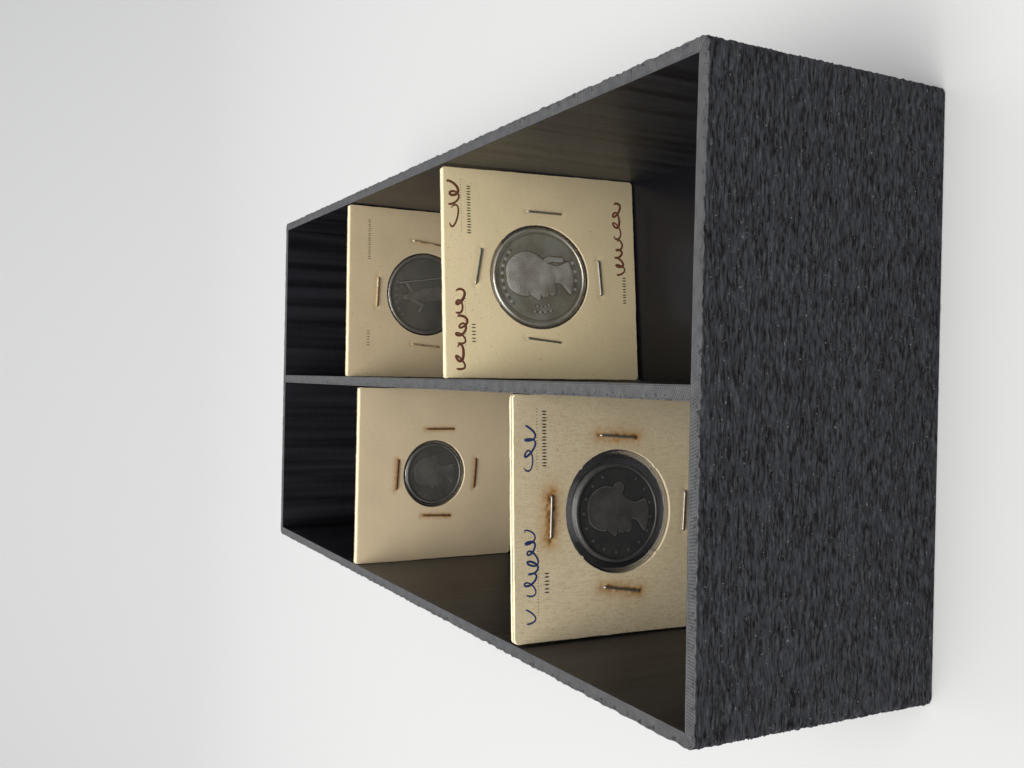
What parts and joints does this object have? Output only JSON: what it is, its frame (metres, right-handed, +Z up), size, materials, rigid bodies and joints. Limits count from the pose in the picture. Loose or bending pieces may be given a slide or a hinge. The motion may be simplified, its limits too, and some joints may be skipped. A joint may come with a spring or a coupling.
{
  "type": "coin display tray",
  "caption": "Open two-lane desk tray for square card coin holders, shown with holders standing in its lanes; each lifts out.",
  "frame": {"origin": "middle of the tray's flat underside", "axes": "+X across the lanes to the right, +Y along the lanes to the back, +Z up"},
  "size_m": [0.11, 0.2336, 0.0537],
  "materials": {
    "printed_plastic": "layer-printed plastic with a fuzzy outer skin",
    "card": "uncoated manila card",
    "clear_film": "clear gloss polyester film",
    "staple_wire": "drawn steel wire, some of it rusty",
    "front_right_coin": "bright silver-coloured coin metal",
    "front_left_coin": "dark worn coin metal",
    "rear_right_coin": "dark toned coin metal",
    "rear_left_coin": "dark grey coin metal"
  },
  "bodies": {
    "tray": {"tray_body": "printed_plastic"},
    "front_right_holder": {"front_right_card": "card", "front_right_front_film": "clear_film", "front_right_back_film": "clear_film", "front_right_coin": "front_right_coin", "front_right_staple_top": "staple_wire", "front_right_staple_right": "staple_wire", "front_right_staple_bottom": "staple_wire", "front_right_staple_left": "staple_wire"},
    "front_left_holder": {"front_left_card": "card", "front_left_front_film": "clear_film", "front_left_back_film": "clear_film", "front_left_coin": "front_left_coin", "front_left_staple_top": "staple_wire", "front_left_staple_right": "staple_wire", "front_left_staple_bottom": "staple_wire", "front_left_staple_left": "staple_wire"},
    "rear_right_holder": {"rear_right_card": "card", "rear_right_front_film": "clear_film", "rear_right_back_film": "clear_film", "rear_right_coin": "rear_right_coin", "rear_right_staple_top": "staple_wire", "rear_right_staple_right": "staple_wire", "rear_right_staple_bottom": "staple_wire", "rear_right_staple_left": "staple_wire"},
    "rear_left_holder": {"rear_left_card": "card", "rear_left_front_film": "clear_film", "rear_left_back_film": "clear_film", "rear_left_coin": "rear_left_coin", "rear_left_staple_top": "staple_wire", "rear_left_staple_right": "staple_wire", "rear_left_staple_bottom": "staple_wire", "rear_left_staple_left": "staple_wire"}
  },
  "joints": [
    {"name": "front_right_lift", "type": "slide", "parent": "tray", "child": "front_right_holder", "axis": [0, 0, 1], "range_m": [0, 0.06]},
    {"name": "front_left_lift", "type": "slide", "parent": "tray", "child": "front_left_holder", "axis": [0, 0, 1], "range_m": [0, 0.06]},
    {"name": "rear_right_lift", "type": "slide", "parent": "tray", "child": "rear_right_holder", "axis": [0, 0, 1], "range_m": [0, 0.06]},
    {"name": "rear_left_lift", "type": "slide", "parent": "tray", "child": "rear_left_holder", "axis": [0, 0, 1], "range_m": [0, 0.06]}
  ]
}
